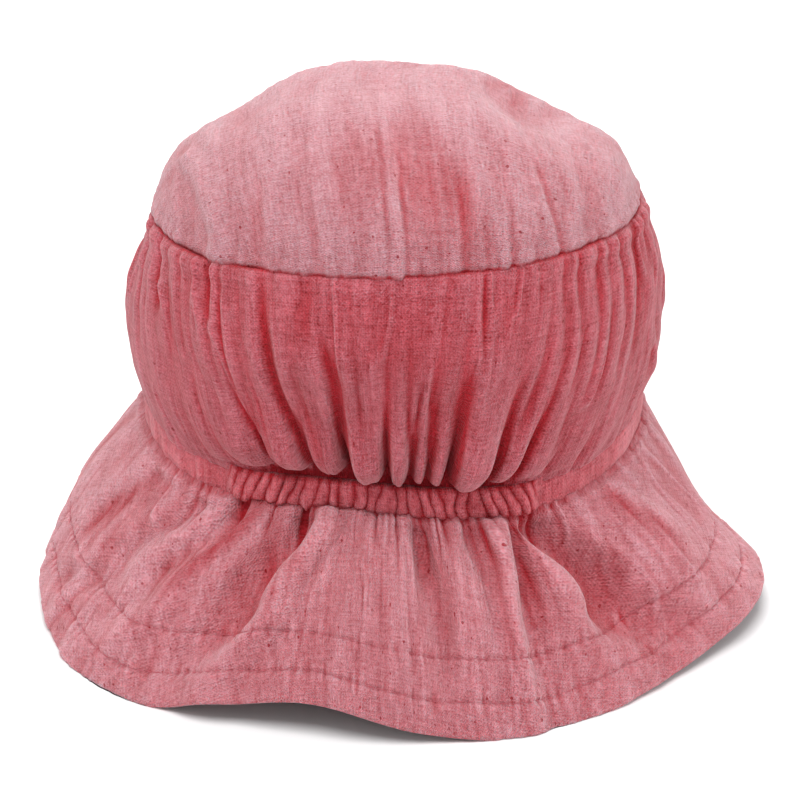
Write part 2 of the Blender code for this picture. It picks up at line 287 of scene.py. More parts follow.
def clothPiece(name, settings, base, height, innerHeight, paintedShade, outerUv, drop=0.0, closedTop=False):
    # a fine outer face, and an inner one with a third of the rows and half the columns
    normals = gridNormals(base)
    outer = base + normals * height[..., None]
    outer[..., 2] -= drop
    inner = base + normals * (innerHeight[..., None] - settings["thickness"])
    rows, columns = outer.shape[:2]
    inner = inner[np.unique(np.linspace(0, rows - 1, rows // 3).astype(int))][:, ::2]
    innerRows, innerColumns = inner.shape[:2]
    points = np.concatenate([outer.reshape(-1, 3), inner.reshape(-1, 3)])
    start = rows * columns
    faces = []
    for r in range(rows - 1):
        faces += facesBetween((r + 1) * columns, r * columns, columns).tolist()
    for r in range(innerRows - 1):
        above = start + r * innerColumns
        faces += facesBetween(above, above + innerColumns, innerColumns).tolist()
    faces += stitchedRim((rows - 1) * columns, start + (innerRows - 1) * innerColumns, columns, False)
    if closedTop:
        peak = len(points)
        middle = outer[0].mean(axis=0) + np.array([0, 0, 0.0001])
        points = np.concatenate([points, [middle, middle - np.array([0, 0, settings["thickness"]])]])
        faces += [[peak, i, (i + 1) % columns] for i in range(columns)]
        faces += [[peak + 1, start + (i + 1) % innerColumns, start + i] for i in range(innerColumns)]
    else:
        faces += stitchedRim(0, start, columns, True)
    points = points - np.array(hat["middle"])
    points[:, 2] = np.maximum(points[:, 2], 0.0)
    mesh = bpy.data.meshes.new(name)
    mesh.from_pydata(points.tolist(), [], faces)
    mesh.materials.append(muslin(settings))
    mesh.shade_smooth()
    made = addObject(name, mesh)

    # cloth coordinates in metres, with the join of the last column kept apart from the first
    innerLevels = np.round(np.arange(innerRows) * (rows - 1) / (innerRows - 1)).astype(int)
    rowOf = np.concatenate([np.repeat(np.arange(rows), columns), np.repeat(innerLevels, innerColumns)])
    innerTurns = np.arange(0, columns, 2)
    colOf = np.concatenate([np.tile(np.arange(columns), rows), np.tile(innerTurns, innerRows)])
    corner = np.zeros(len(mesh.loops), np.int32)
    mesh.loops.foreach_get("vertex_index", corner)
    sizes = np.zeros(len(mesh.polygons), np.int32)
    mesh.polygons.foreach_get("loop_total", sizes)
    isPeak = corner >= len(rowOf)
    known = np.where(isPeak, 0, corner)
    row, col = rowOf[known], colOf[known]
    polygon = np.repeat(np.arange(len(sizes)), sizes)
    farthest = np.zeros(len(sizes), int)
    np.maximum.at(farthest, polygon, col)
    wraps = (farthest[polygon] > columns // 2) & (col < columns // 4)
    uv = outerUv[row, np.where(wraps, columns, col)]
    uv[isPeak] = outerUv[0].mean(axis=0)
    layer = mesh.uv_layers.new(name="cloth")
    layer.data.foreach_set("uv", uv.astype(np.float32).ravel())

    # painted shade for each point, and an even painted shade on the inner face
    shade = mesh.attributes.new("paintedShade", "FLOAT", "POINT")
    values = np.zeros(len(points), np.float32)
    values[:start] = paintedShade.ravel()
    values[start:len(rowOf)] = hat["innerPaintedShade"]
    shade.data.foreach_set("value", values)
    return made


def clothColumns(count, fineAngle, fineShare):
    # the photo's side gets more columns than the plain front
    fine = int(round(count * fineShare / 4)) * 4
    near = np.linspace(-fineAngle, fineAngle, fine, endpoint=False)
    far = np.linspace(fineAngle, 360.0 - fineAngle, count - fine, endpoint=False)
    return np.concatenate([near, far])


def clothGrid(settings):
    columns = clothColumns(settings["columns"], settings["fineAngle"], settings["fineShare"])
    parts = []
    for start, end, count in settings["levels"]:
        parts.append(np.linspace(start, end, count, endpoint=end == 1.0))
    levels = np.concatenate(parts)
    cloth, t = np.meshgrid(columns, levels)
    return columns, levels[:, None], cloth, t


# Node trees: a socket takes either a plain value or another node's output

def addSocket(group, name, kind, isInput=True):
    group.interface.new_socket(name, in_out="INPUT" if isInput else "OUTPUT", socket_type=kind)


def feed(tree, socket, value):
    if isinstance(value, bpy.types.NodeSocket):
        tree.links.new(value, socket)
    else:
        socket.default_value = value


def addNode(tree, kind, given=None, **settings):
    made = tree.nodes.new(kind)
    for key, value in settings.items():
        setattr(made, key, value)
    for key, value in (given or {}).items():
        feed(tree, made.inputs[key], value)
    return made


def calc(tree, operation, *values):
    made = addNode(tree, "ShaderNodeMath", operation=operation)
    for socket, value in zip(made.inputs, values):
        feed(tree, socket, value)
    return made.outputs[0]


# The muslin's threads, crinkles and flecks: how much of each goes into its tone and height

weave = {
    "waver": 5.0,
    "warp": 0.9,
    "weft": 1.0,
    "grain": 0.9,
    "slubs": 0.45,
    "longCrinkle": 1.2,
    "crossing": 0.18,
    "crossingHeight": 0.35,
    "crinkle": 0.5,
    "blotch": 0.3,
    "fleck": 0.9,
    "fleckLevel": 0.88,
    "roughness": 0.55,
}


def makeMuslinGroup():
    group = bpy.data.node_groups.new("crinkledMuslin", "ShaderNodeTree")
    addSocket(group, "Cloth UV", "NodeSocketVector")
    for name in ("Threads Per Metre", "Thread Contrast", "Crinkle Height", "Weave Height"):
        addSocket(group, name, "NodeSocketFloat")
    for name in ("Tone", "Height"):
        addSocket(group, name, "NodeSocketFloat", False)
    given = group.nodes.new("NodeGroupInput").outputs
    results = group.nodes.new("NodeGroupOutput").inputs

    def weighted(first, second, weight):
        return calc(group, "ADD", first, calc(group, "MULTIPLY", second, weight))

    def noise(scaleU, scaleV, offset, detail=0.0):
        # stretched along the threads: cells per metre each way
        moved = addNode(group, "ShaderNodeMapping", {
            "Vector": given["Cloth UV"],
            "Location": (offset, offset * 1.7, 0.0),
            "Scale": (scaleU, scaleV, 1.0),
        })
        return addNode(group, "ShaderNodeTexNoise", {
            "Vector": moved.outputs[0],
            "Scale": 1.0,
            "Detail": detail,
            "Roughness": weave["roughness"],
        }, noise_dimensions="2D").outputs[0]

    def centred(*values):
        return calc(group, "SUBTRACT", noise(*values), 0.5)

    # threads waver, so their rows aren't ruled
    split = addNode(group, "ShaderNodeSeparateXYZ", {"Vector": given["Cloth UV"]})
    waves = []
    for axis, scaleU, scaleV, offset in (("X", 90.0, 260.0, 3.0), ("Y", 260.0, 90.0, 8.0)):
        turn = calc(group, "MULTIPLY", split.outputs[axis], given["Threads Per Metre"])
        turn = calc(group, "MULTIPLY", turn, math.pi)
        waves.append(calc(group, "SINE", weighted(turn, noise(scaleU, scaleV, offset), weave["waver"])))
    crossing = calc(group, "MULTIPLY", *waves)

    thread = calc(group, "MULTIPLY", centred(1900.0, 260.0, 1.0), weave["warp"])
    thread = weighted(thread, centred(300.0, 1900.0, 5.0), weave["weft"])
    thread = weighted(thread, centred(1300.0, 1300.0, 51.0), weave["grain"])
    slubs = calc(group, "ADD", centred(700.0, 40.0, 11.0), centred(40.0, 700.0, 15.0))
    thread = weighted(thread, slubs, weave["slubs"])
    crinkle = weighted(centred(420.0, 60.0, 21.0, 1.0), centred(170.0, 26.0, 25.0), weave["longCrinkle"])

    # the tone is partly painted light and shade, lighter where the threads cross and the crinkles stand
    # up and darker between them, and partly the threads' own uneven colour
    tone = weighted(thread, crossing, weave["crossing"])
    tone = weighted(tone, crinkle, weave["crinkle"])
    tone = weighted(tone, centred(60.0, 60.0, 31.0, 1.0), weave["blotch"])
    tone = calc(group, "MULTIPLY", tone, given["Thread Contrast"])
    # a few dark seed flecks
    fleck = calc(group, "GREATER_THAN", noise(620.0, 480.0, 41.0), weave["fleckLevel"])
    feed(group, results["Tone"], weighted(tone, fleck, -weave["fleck"]))
    raised = weighted(thread, crossing, weave["crossingHeight"])
    raised = calc(group, "MULTIPLY", raised, given["Weave Height"])
    feed(group, results["Height"], weighted(raised, crinkle, given["Crinkle Height"]))
    return group


muslinGroup = makeMuslinGroup()
print("muslin effects made")


# The shader's own values, and what the muslin's colour is mixed from

clothShader = {
    "Roughness": 0.85,
    "Sheen Weight": 0.06,
    "Sheen Roughness": 0.5,
    "Sheen Tint": (1.0, 0.92, 0.93, 1.0),
    "Specular IOR Level": 0.15,
    "Subsurface Weight": 0.45,
    "Subsurface Radius": (1.0, 0.12, 0.14),
    "Subsurface Scale": 0.004,
}

clothSettings = {
    "threads": 1750.0,
    "crinkleHeight": 0.0006,
    "weaveHeight": 0.00035,
    # the dark red of the painted shade in the clefts
    "paintedShadeRed": (0.365, 0.012, 0.019, 1.0),
    "lowThread": (0.56, 0.1, 0.13, 1.0),
    "highThread": (1.42, 2.08, 2.08, 1.0),
    # painted sheen: a pale pink mixed in where the cloth is seen from the side
    "paintedSheen": (0.77, 0.575, 0.585, 1.0),
    "paintedSheenShare": 0.35,
    "paintedSheenReach": 0.2,
}


def muslin(settings):
    material = bpy.data.materials.new(settings["material"])
    material.use_nodes = True
    tree = material.node_tree
    shader = tree.nodes["Principled BSDF"]
    for socket, value in clothShader.items():
        shader.inputs[socket].default_value = value

    def mixed(factor, first, second, blend="MIX"):
        given = {"Factor": factor, "A": first, "B": second}
        made = addNode(tree, "ShaderNodeMix", given, data_type="RGBA", blend_type=blend)
        return made.outputs["Result"]

    uv = addNode(tree, "ShaderNodeUVMap", uv_map="cloth")
    effects = addNode(tree, "ShaderNodeGroup", {
        "Cloth UV": uv.outputs[0],
        "Threads Per Metre": clothSettings["threads"],
        "Thread Contrast": settings["contrast"],
        "Crinkle Height": clothSettings["crinkleHeight"],
        "Weave Height": clothSettings["weaveHeight"],
    }, node_tree=muslinGroup)
    # painted shade: the cloth's colour is mixed toward a dark red where the painted shade attribute is
    # high
    paintedShade = addNode(tree, "ShaderNodeAttribute", attribute_name="paintedShade").outputs["Fac"]
    dyeAndPaintedShade = mixed(paintedShade, settings["color"], clothSettings["paintedShadeRed"])
    # the weave's tone: painted light on the raised threads and painted shade between them, with the
    # threads' own uneven colour
    tone = addNode(tree, "ShaderNodeMapRange", {"Value": effects.outputs["Tone"], "From Min": -1.0})
    threads = mixed(tone.outputs["Result"], clothSettings["lowThread"], clothSettings["highThread"])
    shaded = mixed(1.0, dyeAndPaintedShade, threads, "MULTIPLY")
    # painted sheen: the colour is mixed toward pale pink where the cloth is seen from the side, as light
    # on its loose fibres would make it, and less in the painted shade of the clefts
    facing = addNode(tree, "ShaderNodeLayerWeight", {"Blend": clothSettings["paintedSheenReach"]})
    lit = addNode(tree, "ShaderNodeMath", {0: 1.0, 1: paintedShade}, operation="SUBTRACT", use_clamp=True)
    outside = calc(tree, "MULTIPLY", facing.outputs["Facing"], lit.outputs[0])
    share = calc(tree, "MULTIPLY", outside, clothSettings["paintedSheenShare"])
    feed(tree, shader.inputs["Base Color"], mixed(share, shaded, clothSettings["paintedSheen"]))
    relief = addNode(tree, "ShaderNodeBump", {"Distance": 1.0, "Height": effects.outputs["Height"]})
    feed(tree, shader.inputs["Normal"], relief.outputs["Normal"])
    return material


# Crown top

tip = {
    # the one cloth's pink, made paler on this piece as painted light, since the top faces the lamps
    "color": (0.478, 0.19, 0.214, 1.0),
    "contrast": 0.6,
    "shoulder": 1.12,
    "peakShift": (0.006, -0.004),
    "dentDepth": 0.003,
    "thickness": 0.0014,
    "material": "muslinCrownTop",
    "columns": 640,
    "fineAngle": 78.0,
    "fineShare": 0.66,
    "levels": ((0.04, 0.9, 90), (0.9, 1.0, 30)),
    "seamRoll": 0.0005,
    "softSwell": 0.0009,
    "fineSwell": 0.0002,
    "puckers": 0.0008,
    "arc": 1.12,
    "seamShare": 0.9,
}

# dents of the tip: place across and along, reach across and along, depth
topDents = (
    (0.62, -0.4, 0.42, 0.75, 1),
    (-0.14, 0.72, 0.16, 0.34, 0.55),
    (0.36, 0.84, 0.13, 0.22, 0.45),
    (-0.66, 0.7, 0.12, 0.26, 0.4),
    (-0.4, 0.62, 0.1, 0.3, 0.22),
    (0.16, 0.6, 0.14, 0.36, 0.2),
)

# across and along at the far end, the same at the near end, half width and depth in
# millimetres, and -1 to 1 for which side of it stands higher
topCreases = (
    (0.01, 0.4, 0.025, 0.99, 1.6, 0.5, 0.6),
    (-0.06, 0.55, -0.05, 1, 1.6, 0.4, 0.4),
    (-0.285, 0.6, -0.265, 0.97, 2.6, 0.55, -0.8),
    (-0.46, 0.4, -0.45, 0.9, 1.8, 0.45, -0.3),
    (-0.56, 0.38, -0.64, 0.78, 1.8, 0.5, -0.4),
    (0.33, 0.7, 0.3, 0.96, 3, 0.45, 0.2),
    (0.52, 0.3, 0.5, 0.8, 2, 0.25, 0),
    (0.2, 0.3, 0.19, 0.9, 1.8, 0.22, 0),
    (-0.18, 0.3, -0.17, 0.96, 1.6, 0.25, 0),
    (-0.36, 0.3, -0.35, 0.93, 1.6, 0.22, 0),
    (0.86, 0.05, 0.66, 0.74, 4, -1.1, 0),
    (0.96, 0, 0.76, 0.66, 5, 1, 0),
)


# where the tip sags or stands fuller: across, half width, rise in millimetres
topSags = (
    (0, 0.62, -2.8),
    (0.6, 0.34, -2.2),
    (-0.65, 0.36, -5.6),
    (-0.88, 0.18, 2.8),
)


def crownTop(cloth, t):
    x, y = sideRing(cloth, np.zeros_like(cloth))
    seam = topSeamLevel(cloth)
    highest = topSeamPeak() + hat["topRise"]
    r = np.sin(np.pi / 2 * t)
    climb = np.abs(np.cos(np.pi / 2 * t)) ** tip["shoulder"]
    slip = 1 - r * r
    turn = np.radians(cloth)
    across, alongIt = -r * np.sin(turn), r * np.cos(turn)
    dents = np.zeros_like(x * r)
    for row in topDents:
        dents += row[4] * bump(np.hypot((across - row[0]) / row[2], (alongIt - row[1]) / row[3]))
    z = seam + (highest - seam) * climb - tip["dentDepth"] * dents * smooth((1 - r) / 0.1)
    shiftX, shiftY = tip["peakShift"]
    return stack(x * r + shiftX * slip, y * r + shiftY * slip, z)


def topRelief(cloth, t):
    # small forms across the cloth, and how deep in a crease each point is
    r = np.sin(np.pi / 2 * t)
    turn = np.radians(cloth)
    across, alongIt = -r * np.sin(turn), r * np.cos(turn)
    height = np.zeros_like(across)
    paintedShade = np.zeros_like(across)
    halfWidth = hat["halfWidth"] * tip["seamShare"]
    for farX, farY, nearX, nearY, width, depth, lean in topCreases:
        share = np.clip((alongIt - farY) / (nearY - farY), 0.0, 1.0)
        wander = 0.006 * clothNoise(share * 3.0, farX * 31.0, 5)
        away = (across - (farX + (nearX - farX) * share + wander)) * halfWidth * 1000
        inRange = smooth((alongIt - farY) / 0.18) * smooth((nearY + 0.05 - alongIt) / 0.06)
        line = bump(away / width) * inRange
        step = lean * np.tanh(away / width * 1.6) * bump(away / (width * 6)) * inRange
        height += 0.001 * depth * (0.55 * step - line)
        # painted shade in each crease
        paintedShade += line * depth / 0.9
    soft = clothNoise(across * 7.0 + 40, alongIt * 2.2 + 40, 11) * tip["softSwell"]
    soft += clothNoise(across * 17.0 + 40, alongIt * 4.0 + 40, 12) * tip["softSwell"] / 2
    fine = clothNoise(across * 46.0 + 99, alongIt * 9.0 + 60, 13) * tip["fineSwell"]
    fine += clothNoise(across * 90.0 + 99, alongIt * 16.0 + 60, 14) * tip["fineSwell"] / 2
    nearSeam = smooth((t - 0.8) / 0.2)
    puckers = tip["puckers"] * pleats(cloth, t, 21, 3.4, 1.0) * nearSeam
    roll = tip["seamRoll"]
    edge = -roll * smooth((t - 0.978) / 0.022) ** 2 + 0.0006 * bump((t - 0.955) / 0.05)
    height += soft + fine + puckers * smooth((1 - t) / 0.02) + edge
    # painted shade along the seam
    paintedShade += smooth((t - 0.98) / 0.014) * 6.0
    inside = smooth((1 - r) / 0.1)
    for placeX, reachX, rise in topSags:
        sag = bump(np.hypot((across - placeX) / reachX, (alongIt + 0.1) / 0.6))
        height += 0.001 * rise * sag * inside
    # painted shade over the tip's broad dents
    dentShade = bump(np.hypot((across + 0.02) / 0.5, (alongIt - 0.68) / 0.34))
    dentShade += 0.8 * bump(np.hypot((across + 0.19) / 0.2, (alongIt - 0.84) / 0.26))
    # painted shade from the creases, the seam and the dents, lighter on the soft swells
    return height, paintedShadeFrom(height, 0.15 * paintedShade - soft / 0.006 + 0.34 * dentShade, 0.1)


def makeCrownTop():
    columns, levels, cloth, t = clothGrid(tip)
    height, paintedShade = topRelief(cloth, t)
    tuck = 0.0013 * smooth((t - 0.984) / 0.016)
    r = np.sin(np.pi / 2 * levels)
    arc = levels * tip["arc"]
    turn = closedTurn(columns)
    uv = np.stack([
        -hat["halfWidth"] * tip["seamShare"] * (r + arc) / 2 * np.sin(turn),
        hat["back"] * tip["seamShare"] * arc * np.cos(turn),
    ], axis=-1)
    base = crownTop(cloth, t)
    return clothPiece("crownTopCloth", tip, base, height, height, paintedShade, uv, tuck, True)


# Crown side

crown = {
    # the one cloth's pink, made redder and darker on this piece as painted shade, since the gathered side
    # lies more in shade
    "color": (0.44, 0.092, 0.112, 1.0),
    "contrast": 0.84,
    "thickness": 0.0014,
    "gatherDepth": 0.0062,
    "puff": 0.005,
    "droop": 0.0008,
    "material": "muslinCrownSide",
    "columns": 800,
    "fineAngle": 96.0,
    "fineShare": 0.76,
    "levels": ((0.0, 0.08, 12), (0.08, 0.86, 68), (0.86, 1.0, 24)),
    "seamRoll": 0.0006,
    "seamBead": 0.0009,
    "tuck": 0.0012,
    "flankSag": 0.0028,
    "eased": 0.0004,
    "easedAtFlank": 0.0006,
    "broad": 0.0009,
    "broadAtFlank": 0.0003,
    "low": 0.001,
    "fine": 0.00034,
    "raised": 0.0008,
    "softSwell": 0.0012,
    "clothHeight": 0.077,
}

# tubes over the elastic: cloth angle, half width in degrees, depth, how far up they run, where
# the nose ends, and -1 to 1 for the flank that stands higher
gathers = (
    (-66, 6, 0.16, 0.5, 0.97, 0),
    (-57, 5.5, 0.28, 0.55, 0.96, 0),
    (-47.5, 6.5, 0.5, 0.62, 0.955, -0.3),
    (-34.6, 6.3, 0.92, 0.72, 0.935, -0.5),
    (-22.8, 6.2, 0.84, 0.66, 0.945, 0.3),
    (-29, 13.5, 0.5, 0.8, 0.93, 0),
    (-9.6, 7.2, 1.1, 0.84, 0.955, -0.3),
    (2.2, 4.4, 0.86, 0.66, 0.985, -0.3),
    (9.5, 3.4, 0.74, 0.62, 0.965, 0),
    (16, 3.8, 0.78, 0.66, 0.965, 0.4),
    (8.5, 12, 0.42, 0.76, 0.95, 0),
    (26.6, 7.2, 1.04, 0.8, 0.975, -0.4),
    (37.4, 4.6, 0.72, 0.62, 0.965, 0.3),
    (31, 12.5, 0.4, 0.76, 0.955, 0),
    (46.5, 5.2, 0.48, 0.56, 0.96, 0),
    (56, 5.5, 0.26, 0.5, 0.97, 0),
    (65, 5.5, 0.14, 0.5, 0.97, 0),
)

# sharp valleys down the side: cloth angle at the top, middle and bottom, where it starts and
# ends, half width in degrees, and depth in millimetres at the top, middle and bottom
sideValleys = (
    (-69, -65, -66, 0, 0.34, 2.8, 3.4, 1.4, 0),
    (-79, -77, -74, 0, 0.6, 2, 1.4, 0.8, 0.5),
    (-57.5, -56, -54, 0, 0.45, 1.8, 0.8, 0.6, 0.3),
    (-52, -51, -48, 0, 0.3, 1.5, 0.6, 0.4, 0),
    (-47, -47, -46, 0, 0.55, 2.3, 2, 0.8, 0.6),
    (-42, -43.5, -41, 0, 0.96, 1.5, 1.3, 0.9, 1.8),
    (-30.5, -31, -28.5, 0, 0.99, 2.4, 1.3, 2.4, 3.8),
    (-20, -21, -19, 0, 0.3, 3.2, 1.2, 0.3, 0),
    (-17.5, -15.8, -16.4, 0.18, 0.99, 3.1, 0.4, 3.6, 4.8),
    (-24.5, -24, -24, 0.42, 0.88, 1.8, 0, 0.7, 0.8),
    (-2.8, -2.2, -2.4, 0.26, 0.97, 1.8, 0, 0.7, 2.4),
    (-9.5, -9.5, -10, 0.16, 0.66, 1.3, 0, 0.6, 0.3),
    (3, 3.3, 6.6, 0.12, 0.97, 1.5, 0.2, 0.7, 1.6),
    (9.5, 10.5, 12.6, 0.22, 0.98, 1.6, 0, 0.7, 1.8),
    (17, 18.6, 20, 0.3, 0.99, 3, 0, 2.6, 4.6),
    (20.2, 21, 21.5, 0, 0.4, 1, 1.2, 0.8, 0.2),
    (31, 33, 33, 0.3, 0.98, 1.9, 0, 0.9, 2.4),
    (37.5, 38, 37, 0.16, 0.7, 1.6, 0.3, 0.6, 0.4),
    (40, 43, 41.8, 0, 0.98, 1.8, 0.9, 0.7, 1.8),
    (44.5, 47.5, 46, 0, 0.6, 1.6, 1, 0.6, 0.4),
    (51.5, 53, 51, 0, 0.62, 1.7, 1.2, 0.8, 0.3),
    (55, 57, 57, 0.1, 0.66, 1.9, 0.6, 1.2, 0.3),
    (60.5, 63, 63, 0, 0.6, 1.8, 1, 0.7, 0.3),
    (68, 69.5, 68, 0, 0.6, 2.2, 1.1, 0.8, 0.3),
    (77, 78, 75, 0, 0.5, 2.4, 0.8, 0.6, 0.2),
)


# areas just under the top seam that lie in shade: cloth angle, half width, level, reach
sideShades = (
    (-22, 8, 0.2, 0.24),
    (1, 15, 0.22, 0.26),
    (27, 6, 0.26, 0.24),
)


def openingAngle(cloth):
    return cloth - gatherTurn(cloth)


def crownSide(cloth, t):
    angle = cloth - gatherTurn(cloth) * t
    x, y = sideRing(angle, t)
    bottom = openingLevel(openingAngle(cloth)) + hat["casingHeight"]
    z = topSeamLevel(cloth) * (1 - t) + bottom * t
    return stack(x, y, z)


def valleyLine(away):
    # a narrow cleft with soft shoulders
    return (1 - smooth(np.abs(away))) ** 1.4


def sideRelief(cloth, t):
    c = signed(cloth)
    place = elasticPlace(openingAngle(cloth))
    tubes = np.zeros_like(c)
    noses = np.zeros_like(c)
    for middle, halfWidth, depth, reach, end, lean in gathers:
        spread = 1.08 * halfWidth * (1 - 0.34 * smooth((t - 0.84) / 0.14))
        swerve = 0.7 * clothNoise(t * 7.0, middle + 90.0, 91) * smooth((t - 0.5) / 0.3)
        away = (c - middle - swerve) / spread
        shape = np.clip(1 - away * away, 0.0, 1.0) ** 0.62 * (1 + 0.28 * lean * away)
        rise = smooth((t - (1 - reach)) / (reach - 0.1))
        nose = np.sqrt(np.clip(1 - (np.clip(t - 0.8, 0, 1) / (end - 0.8)) ** 2, 0, 1))
        tubes = np.maximum(tubes, depth * shape * rise)
        noses = np.maximum(noses, depth * shape * rise * nose)
    overElastic = smooth((1.02 - np.abs(place)) / 0.5)
    nape = napePull(openingAngle(cloth)) * overElastic
    gathered = smooth((t - 0.34) / 0.56)
    puff = crown["puff"] * overElastic * smooth((t - 0.55) / 0.3) * noses
    lower = crown["gatherDepth"] * gathered * (noses - 0.6 * nape * smooth((1 - t) / 0.03))
    height = puff + lower
    # painted shade between the gathers over the elastic
    paintedShade = nape * gathered * (1 - np.clip(noses, 0, 1)) ** 0.9 * 1.1

    for top, mid, low, start, end, width, depthTop, depthMid, depthLow in sideValleys:
        line = threeWay(t, top, mid, low) + 0.5 * clothNoise(t * 5.0, top, 3)
        depth = 0.001 * threeWay(t, depthTop, depthMid, depthLow)
        shown = smooth((t - start + 0.02) / 0.06) * smooth((end + 0.04 - t) / 0.14)
        if start > 0:
            shown = smooth((t - start) / 0.22) * smooth((end + 0.04 - t) / 0.14)
        shape = valleyLine((c - line) / (1.5 * width)) * shown
        side = bump((c - line) / (3.2 * width)) * shown
        height -= depth * (shape - 0.35 * side)
        # painted shade in each valley
        paintedShade += np.clip(depth / 0.0026, 0, 1) * shape

    # many small pleats, most of them at the flanks where the cloth is eased into the seam
    flank = smooth((np.abs(c) - 26.0) / 26.0) * (1 - 0.5 * smooth((np.abs(c) - 110.0) / 40.0))
    eased = pleats(cloth, t, 31, 3.3, 2.6)
    easing = crown["easedAtFlank"] * flank * (1 - smooth((t - 0.1) / 0.75))
    height += eased * (crown["eased"] + easing)
    broad = pleats(cloth, t, 37, 5.5, 3.0)
    height += broad * (crown["broad"] + crown["broadAtFlank"] * flank)
    low = pleats(cloth, t, 41, 2.6, 2.0)
    height += low * crown["low"] * nape * smooth((t - 0.3) / 0.4)
    fine = pleats(cloth, t, 43, 1.6, 5.0)
    height += fine * crown["fine"]
    raised = ridges(cloth, t, 45, 7.0, 2.2)
    height += crown["raised"] * raised * (1 - 0.5 * nape * smooth((t - 0.6) / 0.3))
    soft = clothNoise((cloth + 180.0) / 12.0, t * 2.6 + 9.0, 47, 30)
    height += soft * crown["softSwell"] * smooth(t / 0.2) * smooth((1 - t) / 0.2)
    height -= crown["flankSag"] * bump((c + 94.0) / 36.0) * bump((t - 0.2) / 0.34)
    shaded = np.zeros_like(c)
    for middle, halfWidth, level, reach in sideShades:
        shaded += bump(np.hypot((c - middle) / halfWidth, (t - level) / reach))
    # painted shade, lighter on the swells and raised lines and darker in the areas under the top seam
    paintedShade = 0.45 * paintedShade - 0.12 * soft - 0.1 * raised + 0.19 * shaded

    roll = crown["seamRoll"]
    edge = -roll * (1 - smooth(t / 0.016)) ** 2 - (0.0003 + 0.0004 * nape) * (1 - smooth((1 - t) / 0.02))
    edge += crown["seamBead"] * bump((t - 0.04) / 0.055) * (0.6 + flank)
    height = height * smooth(t / 0.012) * (0.25 + 0.75 * smooth(t / 0.03)) + edge
    # painted shade along the top seam and low over the elastic, lighter on the seam's bead
    paintedShade += (1 - smooth(t / 0.014)) * 0.9 - 0.12 * bump((t - 0.04) / 0.05)
    paintedShade += smooth((t - 0.94) / 0.05) * nape
    drop = crown["droop"] * nape * (0.25 + np.clip(tubes, 0, 1)) * bump((t - 0.935) / 0.06)
    drop += crown["tuck"] * smooth((t - 0.984) / 0.016) * (0.3 + 0.7 * nape)
    return height, paintedShadeFrom(height, paintedShade, 0.26), drop


def makeCrownSide():
    columns, levels, cloth, t = clothGrid(crown)
    height, paintedShade, drop = sideRelief(cloth, t)
    calm = np.minimum(height, np.roll(height, 1, axis=1))
    calm = np.minimum(calm, np.roll(height, -1, axis=1))
    uv = bandUv(columns, 1.0 - levels * crown["clothHeight"])
    base = crownSide(cloth, t)
    return clothPiece("crownSideCloth", crown, base, height, calm, paintedShade, uv, drop)


# Casing with its elastic

casing = {
    # the one cloth's pink, made a brighter red on this piece as painted light
    "color": (0.58, 0.12, 0.142, 1.0),
    "contrast": 0.7,
    "thickness": 0.0019,
    "bulge": 0.0012,
    "topRise": 0.0016,
    "ribDepth": 0.0016,
    "ribs": 26,
    "ribLean": 3.4,
    "material": "muslinCasing",
    "columns": 1400,
    "fineAngle": 84.0,
    "fineShare": 0.8,
    "levels": ((0.0, 1.0, 22),),
    "scallop": 0.0017,
    "pleats": 0.0006,
    "grooveDepth": 0.0004,
    "plainSink": 0.0005,
    "row": 0.13,
    "rowPitch": 0.0026,
}

# where the brim's small pleats push the seam up: place along the elastic, half width, rise
scallops = (
    (-0.74, 0.1, 1),
    (-0.55, 0.085, 0.9),
    (-0.33, 0.1, 1),
    (-0.14, 0.12, 1),
    (0.035, 0.06, 0.7),
    (0.16, 0.08, 0.9),
    (0.3, 0.07, 0.8),
    (0.42, 0.065, 0.6),
    (0.57, 0.085, 0.7),
    (0.71, 0.07, 0.6),
    (0.84, 0.06, 0.4),
)


def scallopShape(place):
    highest = np.zeros_like(place)
    for middle, halfWidth, rise in scallops:
        arch = np.sqrt(np.clip(1 - ((place - middle) / (1.12 * halfWidth)) ** 2, 0.0, 1.0))
        highest = np.maximum(highest, rise * arch)
    return highest


def seamWave(angle):
    place = elasticPlace(angle)
    inRange = smooth((1.0 - np.abs(place)) / 0.15)
    return casing["scallop"] * (scallopShape(place) - 0.5) * inRange


def casingBand(cloth, t):
    angle = openingAngle(cloth)
    x, y = sideRing(angle, np.ones_like(angle))
    rise = casing["topRise"] * (1 - 0.3 * smooth((1.05 - np.abs(elasticPlace(angle))) / 0.3))
    z = openingLevel(angle) + (hat["casingHeight"] + rise) * (1 - t)
    z += seamWave(angle) * smooth((t - 0.3) / 0.7)
    return stack(x, y, z)


